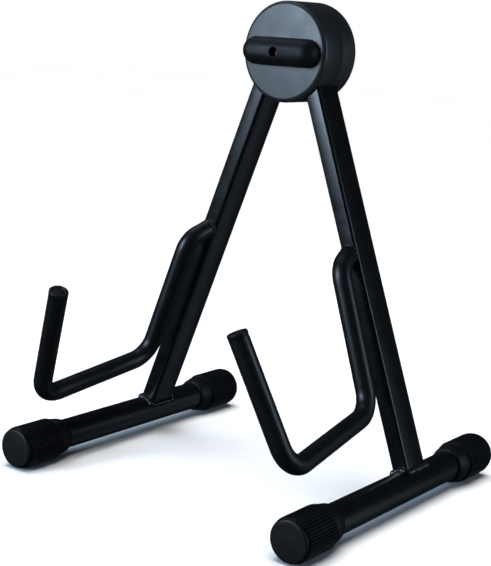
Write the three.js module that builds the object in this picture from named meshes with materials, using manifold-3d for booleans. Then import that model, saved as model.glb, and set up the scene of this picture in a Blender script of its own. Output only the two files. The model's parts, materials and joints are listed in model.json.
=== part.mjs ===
// A folding A-frame stand for a guitar.
//
// Two flat steel legs hang from a round head and swing together on meshed gears. Each leg stands on
// a round foot bar with ribbed rubber caps, and carries a sleeved arm bent into a cradle. A rubber
// bumper on the head's face backs the instrument.
//
// Millimetres and degrees. +Z is up and -Y is the front. The origin is on the floor, in the middle
// of the stand's bounding box, with the legs open.
//
// Each leg is built in its own frame: the origin on its pivot, +X away from the other leg, -Y the
// front, and -Z down the leg to the foot bar. The left leg is the right leg mirrored.

import * as THREE from "three";
import { mergeVertices } from "three/addons/utils/BufferGeometryUtils.js";
import Module from "manifold-3d";

const wasm = await Module();
wasm.setup();

// ---- Driving dimensions ----

const GAP = 0.3; // between pieces that touch
const SPLAY = 20.3; // each leg's lean from upright when open

const HEAD_HEIGHT = 362; // the drum's axis above the floor
const HEAD_RADIUS = 42;
const HEAD_FRONT = 20.2; // the face ahead of the legs' middle plane
const HEAD_BACK = 28.3; // the back behind that plane
const HEAD_SEAM = 5.5; // the joint between the two housings, behind that plane
const HEAD_WALL = 3;
const HEAD_ROUND = 4; // rounding of the drum's front and back edges

const BUMPER_LENGTH = 72.8;
const BUMPER_HEIGHT = 23.4;
const BUMPER_BASE = 3; // straight sides before the dome starts
const BUMPER_DOME = 11.8;
const BUMPER_CREST = 0.7; // half the narrow flat along the top of the dome
const BUMPER_SEAT = 6; // from the drum's face to the bottom of the screw's well
const BUMPER_WELL_RADIUS = 4.1;
const BUMPER_SCREW_RADIUS = 2;
const BUMPER_BOSS = { radius: 5, height: 5 }; // takes that screw, inside the drum's front wall

const PIN_RADIUS = 4;
const PIN_BORE = 4.1; // running fit in the gear's hub
const PIN_HOLE_FRONT = 2.4; // depth of the blind holes that hold the pin's two ends
const PIN_HOLE_REAR = 9;
const BOSS_RADIUS = 7;
const WASHER_RADIUS = 8;
const WASHER_THICKNESS = 1.5;

const POST_CIRCLE = 33.5; // screw posts around the drum's axis
const POST_RADIUS = 4;
const SCREW_RADIUS = 1.5;
const SCREW_HEAD_RADIUS = 3;
const SCREW_HEAD_HEIGHT = 2.2;
const SCREW_SINK = 1; // the head lies this far under the drum's back
const SCREW_TIP = 6; // the housing screws end this far ahead of the middle plane
const SOCKET_RADIUS = 1.3;
const SOCKET_DEPTH = 1.2;

const GEAR_MODULE = 1.5;
const GEAR_TEETH = 21; // on the full circle: only a sector is cut
const GEAR_BACKLASH = 0.4;
const GEAR_THICKNESS = 20;
const PRESSURE_ANGLE = 20;
const HUB_RADIUS = 9;
const HUB_LENGTH = 24;

const LEG_WIDTH = 15;
const LEG_DEPTH = 29;
const LEG_WALL = 1.5;
const LEG_CORNER = 2.5;
const LEG_TOP = 12; // the tube ends this far below its pivot
const TONGUE_END = 42; // and the gear's tongue reaches this far below it
const RIVET_RADIUS = 2;
const RIVET_HEAD_RADIUS = 3;
const RIVET_HEAD_HEIGHT = 1.3;
const RIVETS = { upper: 16.8, lower: 23.6 }; // below the pivot

const BAR_RADIUS = 12.9;
const BAR_WALL = 1.5;
const BAR_FRONT = 178.5; // the front cap's end ahead of the leg's middle plane
const BAR_BACK = 112; // the rear cap's end behind it

const CAP_RADIUS = 18.2;
const CAP_RIBBED = 40.5; // length of the thick, ribbed part
const CAP_SHOULDER = 2.5; // the step down from the ribs
const CAP_NECK = 12; // length of the cone behind the shoulder
const CAP_NECK_RADIUS = 16.6;
const CAP_LIP_RADIUS = 14.2;
const CAP_WALL = 4; // end wall
const CAP_CHAMFER = 2.4;

const ARM_RADIUS = 8; // outside the sleeve
const ARM_ROD_RADIUS = 4.5;
const SLEEVE_BORE = 5.2;
const PLUG_HEIGHT = 4.2;
const PLUG_STEM = 14; // the stem fills the sleeve's bore past the end of the rod
const PLUG_STEM_RADIUS = 4.5;
// The arm's bends: distance ahead of the leg's front face, height along the leg above the foot
// bar's axis, distance outwards from the leg's middle, and the bend's radius.
const ARM_ROOT = [0, 196.1, 0];
const ARM_BENDS = [
  [20.6, 186.5, 1.9, 18],
  [23.2, 67.6, -0.2, 22],
  [147.9, 46.7, 3.7, 21],
];
const ARM_TIP = [168.9, 156.7, 1.6];

const ROUND_SEGMENTS = 48; // facets around the drum, bars and caps
const SMALL_SEGMENTS = 14; // around the screws, washers and posts
const SLEEVE_SIDES = 12;
const ROD_SIDES = 8;
const ARM_STEP = 9; // length of one step along the arm

// ---- Worked out from them ----

const radians = THREE.MathUtils.degToRad;
const FOOT_HEIGHT = CAP_RADIUS * Math.cos(Math.PI / ROUND_SEGMENTS); // the cap rests on a facet
const LEG_LENGTH = (HEAD_HEIGHT - FOOT_HEIGHT) / Math.cos(radians(SPLAY));
const GEAR_RADIUS = (GEAR_MODULE * GEAR_TEETH) / 2;
const PIVOT_X = GEAR_RADIUS; // the gears touch in the middle of the head
const DRUM_FRONT_WALL = -HEAD_FRONT + HEAD_WALL;
const DRUM_BACK_WALL = HEAD_BACK - HEAD_WALL;
const SCREW_SEAT = HEAD_BACK - SCREW_SINK - SCREW_HEAD_HEIGHT;
const WASHER_START = HUB_LENGTH / 2 + GAP;
const BOSS_FACE = WASHER_START + WASHER_THICKNESS + GAP;

// ---- Materials ----

const paint = (color, roughness, metalness) =>
  new THREE.MeshStandardMaterial({ color, roughness, metalness });

const housingPlastic = paint(0x1b1c1f, 0.5, 0);
const rubber = paint(0x151517, 0.75, 0);
const powderCoat = paint(0x17181b, 0.42, 0.25);
const sleeveFoam = paint(0x161719, 0.6, 0);
const steel = paint(0x8c8f94, 0.35, 1);
const nylon = paint(0xcfccc2, 0.55, 0);

// ---- Solids ----

// A closed geometry as a manifold solid.
function solid(geometry) {
  geometry.deleteAttribute("normal");
  geometry.deleteAttribute("uv");
  const merged = mergeVertices(geometry, 1e-4);
  const vertProperties = merged.attributes.position.array;
  const triVerts = new Uint32Array(merged.index.array);
  return new wasm.Manifold(new wasm.Mesh({ numProp: 3, vertProperties, triVerts }));
}

function named(name, shape, material) {
  const surface = shape.getMesh();
  const geometry = new THREE.BufferGeometry();
  geometry.setAttribute("position", new THREE.BufferAttribute(surface.vertProperties, 3));
  geometry.setIndex(new THREE.BufferAttribute(surface.triVerts, 1));
  geometry.computeVertexNormals();
  const mesh = new THREE.Mesh(geometry, material);
  mesh.name = name;
  return mesh;
}

// A body turned about an axis along Y. The profile's points are [radius, y], from the front end of
// the axis round the outside to the back, with a facet, not an edge, at the top and the bottom.
function turned(profile, segments) {
  const points = profile.map(([radius, y]) => new THREE.Vector2(radius, y));
  return solid(new THREE.LatheGeometry(points, segments, Math.PI / segments, 2 * Math.PI));
}

// A rod or ring along Y at (x, z), from y = start to y = end.
function rod(x, z, start, end, radius, bore = 0, segments = SMALL_SEGMENTS) {
  const profile = [[bore, start], [radius, start], [radius, end], [bore, end]];
  if (bore > 0) profile.push([bore, start]);
  return turned(profile, segments).translate(x, 0, z);
}

// A box by its lowest and highest corners.
function block(low, high) {
  const size = high.map((value, i) => value - low[i]);
  const middle = high.map((value, i) => (value + low[i]) / 2);
  const box = new THREE.BoxGeometry(...size);
  return solid(box.translate(...middle));
}

// An outline in the X-Z plane given depth along Y, from y = start to y = end.
function plate(outline, start, end) {
  const geometry = new THREE.ExtrudeGeometry(outline, {
    depth: end - start,
    bevelEnabled: false,
    curveSegments: 6,
  });
  return solid(geometry.rotateX(Math.PI / 2).translate(0, end, 0));
}

function outlineOf(points) {
  return new THREE.Shape(points.map(([x, z]) => new THREE.Vector2(x, z)));
}

// A rectangle with round corners, centred on the origin.
function roundedRectangle(width, depth, corner) {
  const x = width / 2;
  const y = depth / 2;
  const shape = new THREE.Shape();
  shape.moveTo(-x + corner, -y);
  shape.lineTo(x - corner, -y);
  shape.absarc(x - corner, -y + corner, corner, -Math.PI / 2, 0);
  shape.lineTo(x, y - corner);
  shape.absarc(x - corner, y - corner, corner, 0, Math.PI / 2);
  shape.lineTo(-x + corner, y);
  shape.absarc(-x + corner, y - corner, corner, Math.PI / 2, Math.PI);
  shape.lineTo(-x, -y + corner);
  shape.absarc(-x + corner, -y + corner, corner, Math.PI, 1.5 * Math.PI);
  return shape;
}

// A prism down the leg, from `top` to `bottom` below the pivot.
function legPrism(shape, top, bottom) {
  const options = { depth: bottom - top, bevelEnabled: false, curveSegments: 3 };
  return solid(new THREE.ExtrudeGeometry(shape, options).translate(0, 0, -bottom));
}

// ---- The head ----

// Four places around the drum's axis for the screws that close it.
const POSTS = { right: 0, top: 90, left: 180, bottom: 270 };

function postPlace(angle) {
  return [POST_CIRCLE * Math.cos(radians(angle)), POST_CIRCLE * Math.sin(radians(angle))];
}

// Points along the drum's rounded edge, from the flat end to the side.
function drumEdge(end, direction) {
  const centre = end + direction * HEAD_ROUND;
  return [0, 45, 90].map((angle) => [
    HEAD_RADIUS - HEAD_ROUND + HEAD_ROUND * Math.sin(radians(angle)),
    centre - direction * HEAD_ROUND * Math.cos(radians(angle)),
  ]);
}

// The opening in the drum's wall that one leg swings in, from the folded leg's inner side out to
// the open leg's outer side, which rests on its end.
function legSlot(side) {
  const lean = radians(SPLAY);
  const reach = LEG_WIDTH / 2 + GAP;
  const inner = PIVOT_X - LEG_WIDTH / 2 - 1;
  const outer = (distance) => [
    PIVOT_X + distance * Math.sin(lean) + reach * Math.cos(lean),
    -distance * Math.cos(lean) + reach * Math.sin(lean),
  ];
  const bottom = outer(HEAD_RADIUS + 10);
  const points = [[inner, outer(LEG_TOP)[1]], [inner, bottom[1]], bottom, outer(LEG_TOP)];
  const mirrored = side < 0 ? points.map(([x, z]) => [-x, z]).reverse() : points;
  return plate(outlineOf(mirrored), -LEG_DEPTH / 2 - GAP, LEG_DEPTH / 2 + GAP);
}

function pivotBosses(shape, wall, face, depth) {
  let housing = shape;
  for (const side of [-1, 1]) {
    const x = side * PIVOT_X;
    const [start, end] = wall < face ? [wall - 1, face] : [face, wall + 1];
    const hole = wall < face ? [face - depth, face + 1] : [face - 1, face + depth];
    housing = housing.add(rod(x, 0, start, end, BOSS_RADIUS));
    housing = housing.subtract(rod(x, 0, ...hole, PIN_RADIUS + GAP));
  }
  return housing;
}

function frontHousing() {
  const inside = HEAD_RADIUS - HEAD_WALL;
  let housing = turned(
    [
      [0, -HEAD_FRONT],
      ...drumEdge(-HEAD_FRONT, 1),
      [HEAD_RADIUS, HEAD_SEAM],
      [inside, HEAD_SEAM],
      [inside, DRUM_FRONT_WALL],
      [0, DRUM_FRONT_WALL],
    ],
    ROUND_SEGMENTS,
  );
  housing = housing.subtract(legSlot(-1)).subtract(legSlot(1));
  for (const angle of Object.values(POSTS)) {
    const [x, z] = postPlace(angle);
    housing = housing.add(rod(x, z, DRUM_FRONT_WALL - 1, HEAD_SEAM, POST_RADIUS));
    housing = housing.subtract(rod(x, z, -SCREW_TIP - 2, HEAD_SEAM + 1, SCREW_RADIUS + GAP));
  }
  const { radius, height } = BUMPER_BOSS;
  const thread = [-HEAD_FRONT - 1, DRUM_FRONT_WALL + height - 1];
  housing = housing.add(rod(0, 0, DRUM_FRONT_WALL - 1, DRUM_FRONT_WALL + height, radius));
  housing = housing.subtract(rod(0, 0, ...thread, BUMPER_SCREW_RADIUS + GAP));
  return pivotBosses(housing, DRUM_FRONT_WALL, -BOSS_FACE, PIN_HOLE_FRONT);
}

function rearHousing() {
  const inside = HEAD_RADIUS - HEAD_WALL;
  const seam = HEAD_SEAM + GAP;
  let housing = turned(
    [
      [0, DRUM_BACK_WALL],
      [inside, DRUM_BACK_WALL],
      [inside, seam],
      [HEAD_RADIUS, seam],
      ...drumEdge(HEAD_BACK, -1).reverse(),
      [0, HEAD_BACK],
    ],
    ROUND_SEGMENTS,
  );
  housing = housing.subtract(legSlot(-1)).subtract(legSlot(1));
  for (const angle of Object.values(POSTS)) {
    const [x, z] = postPlace(angle);
    housing = housing.add(rod(x, z, seam, DRUM_BACK_WALL + 1, POST_RADIUS));
    housing = housing.subtract(rod(x, z, seam - 1, HEAD_BACK + 1, SCREW_RADIUS + GAP));
    housing = housing.subtract(rod(x, z, SCREW_SEAT, HEAD_BACK + 1, SCREW_HEAD_RADIUS + GAP));
  }
  return pivotBosses(housing, DRUM_BACK_WALL, BOSS_FACE, PIN_HOLE_REAR);
}

function bumper() {
  const radius = BUMPER_HEIGHT / 2;
  const straight = BUMPER_LENGTH / 2 - radius;
  const crest = new THREE.Shape();
  crest.moveTo(-straight, -BUMPER_CREST);
  crest.lineTo(straight, -BUMPER_CREST);
  crest.absarc(straight, 0, BUMPER_CREST, -Math.PI / 2, Math.PI / 2);
  crest.lineTo(-straight, BUMPER_CREST);
  crest.absarc(-straight, 0, BUMPER_CREST, Math.PI / 2, 1.5 * Math.PI);
  const pillow = new THREE.ExtrudeGeometry(crest, {
    depth: 2 * BUMPER_BASE,
    bevelThickness: BUMPER_DOME,
    bevelSize: radius - BUMPER_CREST,
    bevelSegments: 5,
    curveSegments: 8,
  });
  const face = -HEAD_FRONT - GAP;
  const whole = solid(pillow.rotateX(Math.PI / 2).translate(0, face + BUMPER_BASE, 0));
  const proud = BUMPER_BASE + BUMPER_DOME;
  const front = [[-BUMPER_LENGTH, face - proud - 1, -radius - 1], [BUMPER_LENGTH, face, radius + 1]];
  return whole
    .intersect(block(...front))
    .subtract(rod(0, 0, face - proud - 1, face + 1, BUMPER_SCREW_RADIUS + GAP))
    .subtract(rod(0, 0, face - proud - 1, face - BUMPER_SEAT, BUMPER_WELL_RADIUS));
}

// A pan-head screw along Y, its head's underside at y = seat and its point at y = tip.
function screw(x, z, seat, tip, shank) {
  const outwards = Math.sign(seat - tip);
  const under = seat + outwards * GAP;
  const top = under + outwards * SCREW_HEAD_HEIGHT;
  const between = (a, b, radius) => rod(x, z, Math.min(a, b), Math.max(a, b), radius);
  return between(tip, under + outwards, shank)
    .add(between(under, top, SCREW_HEAD_RADIUS))
    .subtract(between(top - outwards * SOCKET_DEPTH, top + outwards, SOCKET_RADIUS));
}

const head = new THREE.Group();
head.add(named("front_housing", frontHousing(), housingPlastic));
head.add(named("rear_housing", rearHousing(), housingPlastic));
head.add(named("bumper", bumper(), rubber));
const bumperSeat = -HEAD_FRONT - GAP - BUMPER_SEAT;
const bumperTip = DRUM_FRONT_WALL + BUMPER_BOSS.height - 2;
const bumperScrew = screw(0, 0, bumperSeat, bumperTip, BUMPER_SCREW_RADIUS);
head.add(named("bumper_screw", bumperScrew, steel));
for (const [place, angle] of Object.entries(POSTS)) {
  const body = screw(...postPlace(angle), SCREW_SEAT, -SCREW_TIP, SCREW_RADIUS);
  head.add(named(`housing_screw_${place}`, body, steel));
}
for (const [name, side] of [["left", -1], ["right", 1]]) {
  const x = side * PIVOT_X;
  const pinFront = -BOSS_FACE - PIN_HOLE_FRONT + GAP;
  const pinBack = BOSS_FACE + PIN_HOLE_REAR - GAP;
  const pin = rod(x, 0, pinFront, pinBack, PIN_RADIUS, 0, ROUND_SEGMENTS);
  head.add(named(`${name}_pivot_pin`, pin, steel));
  const frontWasher = [-WASHER_START - WASHER_THICKNESS, -WASHER_START];
  const rearWasher = [WASHER_START, WASHER_START + WASHER_THICKNESS];
  for (const [place, span] of [["front", frontWasher], ["rear", rearWasher]]) {
    const washer = rod(x, 0, ...span, WASHER_RADIUS, PIN_RADIUS + GAP);
    head.add(named(`${name}_${place}_washer`, washer, nylon));
  }
}

// ---- One leg ----

// The involute's polar angle where it crosses a radius.
function involute(radius, base) {
  const angle = Math.acos(Math.min(1, base / radius));
  return Math.tan(angle) - angle;
}

// One tooth's outline about its own middle angle: [radius, angle] from root to root.
function toothOutline() {
  const base = GEAR_RADIUS * Math.cos(radians(PRESSURE_ANGLE));
  const root = GEAR_RADIUS - 1.25 * GEAR_MODULE;
  const tip = GEAR_RADIUS + 0.93 * GEAR_MODULE;
  const thickness = (Math.PI * GEAR_MODULE) / 2 - GEAR_BACKLASH;
  const half = thickness / (2 * GEAR_RADIUS) + involute(GEAR_RADIUS, base);
  const flank = [base, (base + GEAR_RADIUS) / 2, GEAR_RADIUS, (GEAR_RADIUS + tip) / 2, tip];
  const rising = flank.map((radius) => [radius, involute(radius, base) - half]);
  const side = [[root, rising[0][1]], ...rising];
  return [...side, ...side.map(([radius, angle]) => [radius, -angle]).reverse()];
}

// The toothed sector. It faces the other leg through the whole swing, and the mirrored leg's teeth
// stand half a pitch round, so that they fall in this one's gaps.
function gearSector(mirrored) {
  const pitch = (2 * Math.PI) / GEAR_TEETH;
  const contact = Math.PI - radians(SPLAY);
  const first = contact + (mirrored ? -1.5 : -1) * pitch;
  const polar = [];
  for (let tooth = 0; tooth < 5; tooth++) {
    const middle = first + tooth * pitch;
    polar.push(...toothOutline().map(([radius, angle]) => [radius, middle + angle]));
  }
  const start = polar[0][1] - pitch / 4;
  const end = polar[polar.length - 1][1] + pitch / 4;
  const inner = HUB_RADIUS / 2; // the sector grows out of the hub
  const ring = [[inner, start], [polar[0][0], start], ...polar, [polar[0][0], end], [inner, end]];
  const points = ring.map(([radius, angle]) => [radius * Math.cos(angle), radius * Math.sin(angle)]);
  return plate(outlineOf(points), -GEAR_THICKNESS / 2, GEAR_THICKNESS / 2);
}

// A hole or a shank for one rivet, across the leg from front to back.
function acrossLeg(below, radius, beyond) {
  const reach = LEG_DEPTH / 2 + beyond;
  return rod(0, -below, -reach, reach, radius);
}

function legGear(mirrored) {
  const width = LEG_WIDTH - 2 * LEG_WALL - 2 * GAP;
  const depth = LEG_DEPTH - 2 * LEG_WALL - 2 * GAP;
  const tongue = legPrism(roundedRectangle(width, depth, LEG_CORNER / 2), 0, TONGUE_END);
  const reach = HUB_LENGTH / 2;
  let gear = rod(0, 0, -reach, reach, HUB_RADIUS, 0, ROUND_SEGMENTS);
  const within = block([-HUB_RADIUS, -reach, -TONGUE_END - 1], [HUB_RADIUS, reach, 1]);
  gear = gear.add(tongue.intersect(within)).add(gearSector(mirrored));
  for (const below of Object.values(RIVETS)) {
    gear = gear.subtract(acrossLeg(below, RIVET_RADIUS + GAP, 1));
  }
  return gear.subtract(rod(0, 0, -reach - 1, reach + 1, PIN_BORE, 0, ROUND_SEGMENTS));
}

function legTube() {
  const outline = roundedRectangle(LEG_WIDTH, LEG_DEPTH, LEG_CORNER);
  const wall = 2 * LEG_WALL;
  const hollow = roundedRectangle(LEG_WIDTH - wall, LEG_DEPTH - wall, LEG_CORNER - LEG_WALL);
  let tube = legPrism(outline, LEG_TOP, LEG_LENGTH);
  tube = tube.subtract(legPrism(hollow, LEG_TOP - 1, LEG_LENGTH + 1));
  for (const below of Object.values(RIVETS)) {
    tube = tube.subtract(acrossLeg(below, RIVET_RADIUS + GAP, 1));
  }
  const cope = rod(0, -LEG_LENGTH, -LEG_DEPTH, LEG_DEPTH, BAR_RADIUS + GAP, 0, ROUND_SEGMENTS);
  return tube.subtract(cope);
}

function rivet(below) {
  const face = LEG_DEPTH / 2 + GAP;
  const top = face + RIVET_HEAD_HEIGHT;
  return acrossLeg(below, RIVET_RADIUS, GAP + RIVET_HEAD_HEIGHT / 2)
    .add(rod(0, -below, -top, -face, RIVET_HEAD_RADIUS))
    .add(rod(0, -below, face, top, RIVET_HEAD_RADIUS));
}

function footBar() {
  const inside = CAP_WALL + GAP;
  const front = -BAR_FRONT + inside;
  return rod(0, 0, front, BAR_BACK - inside, BAR_RADIUS, BAR_RADIUS - BAR_WALL, ROUND_SEGMENTS);
}

// A cup over the bar's end: a flat end with a chamfer, a thick part that carries the ribs, and a
// cone down to a lip. `end` is the flat end's y, and `inwards` the way to the leg, -1 or 1.
function barCap(end, inwards) {
  const bore = BAR_RADIUS + GAP;
  const length = CAP_RIBBED + CAP_SHOULDER + CAP_NECK;
  const profile = [
    [0, 0],
    [CAP_RADIUS - CAP_CHAMFER, 0],
    [CAP_RADIUS, CAP_CHAMFER],
    [CAP_RADIUS, CAP_RIBBED],
    [CAP_NECK_RADIUS, CAP_RIBBED + CAP_SHOULDER],
    [CAP_LIP_RADIUS, length],
    [bore, length],
    [bore, CAP_WALL],
    [0, CAP_WALL],
  ].map(([radius, depth]) => [radius, end + inwards * depth]);
  return turned(inwards > 0 ? profile : profile.reverse(), ROUND_SEGMENTS);
}

// An arc that turns from one straight to the next, between its two tangent points.
class BendCurve extends THREE.Curve {
  constructor(start, corner, end) {
    super();
    const into = corner.clone().sub(start);
    const away = end.clone().sub(corner);
    this.turn = into.angleTo(away);
    this.radius = into.length() / Math.tan(this.turn / 2);
    this.forward = into.normalize();
    const across = away.normalize().addScaledVector(this.forward, -Math.cos(this.turn));
    this.inwards = across.normalize();
    this.start = start;
  }

  getPoint(t, target = new THREE.Vector3()) {
    const angle = t * this.turn;
    return target
      .copy(this.start)
      .addScaledVector(this.forward, this.radius * Math.sin(angle))
      .addScaledVector(this.inwards, this.radius * (1 - Math.cos(angle)));
  }
}

function armPlace([ahead, height, outwards]) {
  return new THREE.Vector3(outwards, -LEG_DEPTH / 2 - ahead, height - LEG_LENGTH);
}

// The arm's centre line, from inside the leg's face to the end of the sleeve, or short of that end.
function armPath(short = 0) {
  const path = new THREE.CurvePath();
  const bends = ARM_BENDS.map((bend) => ({ corner: armPlace(bend), radius: bend[3] }));
  const root = armPlace(ARM_ROOT);
  const tip = armPlace(ARM_TIP);
  const rise = root.clone().sub(bends[0].corner).normalize();
  const last = bends[bends.length - 1].corner;
  const leaving = last.clone().sub(tip).normalize();
  let from = root.clone().addScaledVector(rise, 2 * ARM_RADIUS);
  const finish = tip.clone().addScaledVector(leaving, PLUG_HEIGHT + GAP + short);
  bends.forEach(({ corner, radius }, i) => {
    const next = i + 1 < bends.length ? bends[i + 1].corner : finish;
    const into = corner.clone().sub(from).normalize();
    const away = next.clone().sub(corner).normalize();
    const tangent = radius * Math.tan(into.angleTo(away) / 2);
    const start = corner.clone().addScaledVector(into, -tangent);
    const end = corner.clone().addScaledVector(away, tangent);
    path.add(new THREE.LineCurve3(from, start));
    path.add(new BendCurve(start, corner, end));
    from = end;
  });
  path.add(new THREE.LineCurve3(from, finish));
  return path;
}

function polygon(radius, sides) {
  const turn = (2 * Math.PI) / sides;
  return Array.from({ length: sides }, (_, i) => {
    return new THREE.Vector2(radius * Math.cos(i * turn), radius * Math.sin(i * turn));
  });
}

// A section swept along the arm, and cut off flush in front of the leg.
function alongArm(path, section) {
  const steps = Math.round(path.getLength() / ARM_STEP);
  const geometry = new THREE.ExtrudeGeometry(section, { steps, extrudePath: path });
  const face = -LEG_DEPTH / 2 - GAP;
  const legSide = block([-LEG_DEPTH, face, -LEG_LENGTH], [LEG_DEPTH, LEG_DEPTH, 0]);
  return solid(geometry).subtract(legSide);
}

function armSleeve() {
  const section = new THREE.Shape(polygon(ARM_RADIUS, SLEEVE_SIDES));
  section.holes.push(new THREE.Path(polygon(SLEEVE_BORE, ROD_SIDES)));
  return alongArm(armPath(), section);
}

function armRod() {
  const section = new THREE.Shape(polygon(ARM_ROD_RADIUS, ROD_SIDES));
  return alongArm(armPath(PLUG_STEM + GAP), section);
}

// A round-headed plug, pushed into the end of the sleeve.
function armPlug() {
  const path = armPath();
  const rim = PLUG_HEIGHT / 2;
  const dome = [0, 30, 60, 90].map((angle) => [
    ARM_RADIUS * Math.cos(radians(angle)),
    GAP + rim + (PLUG_HEIGHT - rim) * Math.sin(radians(angle)),
  ]);
  dome[dome.length - 1][0] = 0;
  const stem = [[0, -PLUG_STEM], [PLUG_STEM_RADIUS, -PLUG_STEM], [PLUG_STEM_RADIUS, GAP]];
  const plug = turned([...stem, [ARM_RADIUS, GAP], ...dome], SMALL_SEGMENTS);
  const axis = path.getTangent(1);
  const turn = new THREE.Quaternion().setFromUnitVectors(new THREE.Vector3(0, 1, 0), axis);
  const place = new THREE.Matrix4().compose(path.getPoint(1), turn, new THREE.Vector3(1, 1, 1));
  return plug.transform(place.elements);
}

// A leg with its gear, foot bar and arm. A mirrored leg is drawn in the mirrored frame.
function leg(name, mirrored) {
  const group = new THREE.Group();
  group.add(named(`${name}_leg_tube`, legTube(), powderCoat));
  group.add(named(`${name}_leg_gear`, legGear(mirrored), nylon));
  for (const [place, below] of Object.entries(RIVETS)) {
    group.add(named(`${name}_${place}_rivet`, rivet(below), steel));
  }
  group.add(named(`${name}_arm_rod`, armRod(), powderCoat));
  group.add(named(`${name}_arm_sleeve`, armSleeve(), sleeveFoam));
  group.add(named(`${name}_arm_plug`, armPlug(), rubber));

  const foot = new THREE.Group();
  foot.add(named(`${name}_foot_bar`, footBar(), powderCoat));
  foot.add(named(`${name}_front_cap`, barCap(-BAR_FRONT, 1), rubber));
  foot.add(named(`${name}_rear_cap`, barCap(BAR_BACK, -1), rubber));
  foot.position.z = -LEG_LENGTH;
  foot.rotation.y = radians(SPLAY);
  group.add(foot);

  group.position.x = PIVOT_X;
  group.rotation.y = -radians(SPLAY);
  return group;
}

// ---- The stand ----

const rightLeg = leg("right", false);
const leftLeg = new THREE.Group();
leftLeg.add(leg("left", true));
leftLeg.scale.x = -1;

const group = new THREE.Group();
group.add(head, leftLeg, rightLeg);
group.position.z = HEAD_HEIGHT;

// The head's axis stands behind the middle, because the arms reach further out than the rear caps.
const extent = new THREE.Box3().setFromObject(group);
group.position.y = -(extent.min.y + extent.max.y) / 2;

export default group;
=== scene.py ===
import json
import math

import bmesh
import bpy
from mathutils import Matrix, Vector

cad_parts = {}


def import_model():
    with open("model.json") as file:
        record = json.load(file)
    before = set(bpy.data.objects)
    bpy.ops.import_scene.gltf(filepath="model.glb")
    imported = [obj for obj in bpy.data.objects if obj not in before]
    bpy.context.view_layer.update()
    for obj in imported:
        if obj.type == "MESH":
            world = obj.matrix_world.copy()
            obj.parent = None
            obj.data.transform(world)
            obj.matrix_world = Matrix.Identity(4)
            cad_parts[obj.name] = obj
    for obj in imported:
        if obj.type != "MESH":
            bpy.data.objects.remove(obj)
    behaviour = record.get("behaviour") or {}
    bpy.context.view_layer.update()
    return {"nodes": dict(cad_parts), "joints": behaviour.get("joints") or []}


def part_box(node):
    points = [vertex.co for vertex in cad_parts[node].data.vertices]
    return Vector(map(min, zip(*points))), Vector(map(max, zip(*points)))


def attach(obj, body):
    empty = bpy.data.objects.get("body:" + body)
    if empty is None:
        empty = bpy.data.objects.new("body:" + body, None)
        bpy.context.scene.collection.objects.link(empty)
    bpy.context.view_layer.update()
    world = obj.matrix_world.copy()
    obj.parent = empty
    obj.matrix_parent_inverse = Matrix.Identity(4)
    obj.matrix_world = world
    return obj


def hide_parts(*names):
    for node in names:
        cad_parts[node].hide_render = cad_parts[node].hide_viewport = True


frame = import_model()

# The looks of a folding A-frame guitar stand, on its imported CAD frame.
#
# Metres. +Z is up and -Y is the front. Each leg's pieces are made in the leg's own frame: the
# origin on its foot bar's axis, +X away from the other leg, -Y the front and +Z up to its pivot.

MM = 0.001
SIDES = {"left": -1, "right": 1}

# ---- Driving dimensions that the frame's boxes don't give ----

CENTRE_FLAT = 0.5 * MM  # radius of the small flat that closes a turned face on its axis
OVERSHOOT = 2.0 * MM  # how far a cutter reaches past the face that it opens

HEAD_ROUND = 4.0 * MM  # rounding of the drum's front and back edges
HEAD_EDGE = 0.35 * MM  # rounding of the housings' other edges
HEAD_WALL = 3.0 * MM
HEAD_SEGMENTS = 144
SLOT_CLEARANCE = 0.3 * MM  # around the leg in the drum's wall
SLOT_INNER = 1.0 * MM  # between the folded leg's inner side and the slot's end
SLOT_TOP = 12.0 * MM  # the slots and the legs' tubes start this far below the pivots
SLOT_REACH = 10.0 * MM  # how far the slots' cutters reach past the drum's wall
SCREW_WELL_RADIUS = 3.3 * MM
SCREW_WELL_DEPTH = 3.2 * MM
SCREW_CIRCLE = 33.5 * MM
SCREW_ANGLES = (0, 90, 180, 270)
SCREW_WELL_SEGMENTS = 32

BUMPER_BASE = 3.0 * MM  # straight sides before the dome starts
BUMPER_CREST = 0.7 * MM  # half the narrow flat along the top of the dome
BUMPER_FOOT_ROUND = 0.6 * MM  # rounding where it meets the drum's face
BUMPER_DOME_STEPS = 22
BUMPER_WELL_RADIUS = 4.1 * MM
BUMPER_WELL_FLOOR = 6.0 * MM  # ahead of the drum's face
BUMPER_WELL_EDGE = 0.7 * MM
BUMPER_WELL_SEGMENTS = 48

LEG_WIDTH = 15.0 * MM
LEG_DEPTH = 29.0 * MM
LEG_WALL = 1.5 * MM
LEG_CORNER = 2.5 * MM
BAR_WALL = 1.5 * MM
BAR_SEGMENTS = 96

BEAD_SIDES = 12
BEAD_RIPPLE = 0.12  # how much of a weld bead's radius its ripples add
BEAD_DRIFT = 0.13  # and its uneven swelling, a sum of waves: (size, radians a metre, start)
BEAD_WAVES = ((1.0, 410, 1.3), (0.6, 970, 0.0))
FOOT_WELD_RADIUS = 2.5 * MM
FOOT_WELD_RIPPLE = 3.0 * MM  # from one ripple to the next
FOOT_WELD_STEP = 0.5 * MM
FOOT_WELD_OUT = 0.6 * MM  # from the leg's sides to the bead's middle line
FOOT_WELD_LIFT = 0.3 * MM  # and from the bar's surface
ARM_WELD_RADIUS = 1.5 * MM
ARM_WELD_RIPPLE = 2.2 * MM
ARM_WELD_STEPS = 96
ARM_WELD_CIRCLE = 6.9 * MM
ARM_WELD_LIFT = 0.4 * MM  # from the leg's face to the bead's middle line
ARM_WELD_INSET = 0.2 * MM  # that line stays this far inside the leg's sides

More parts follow.
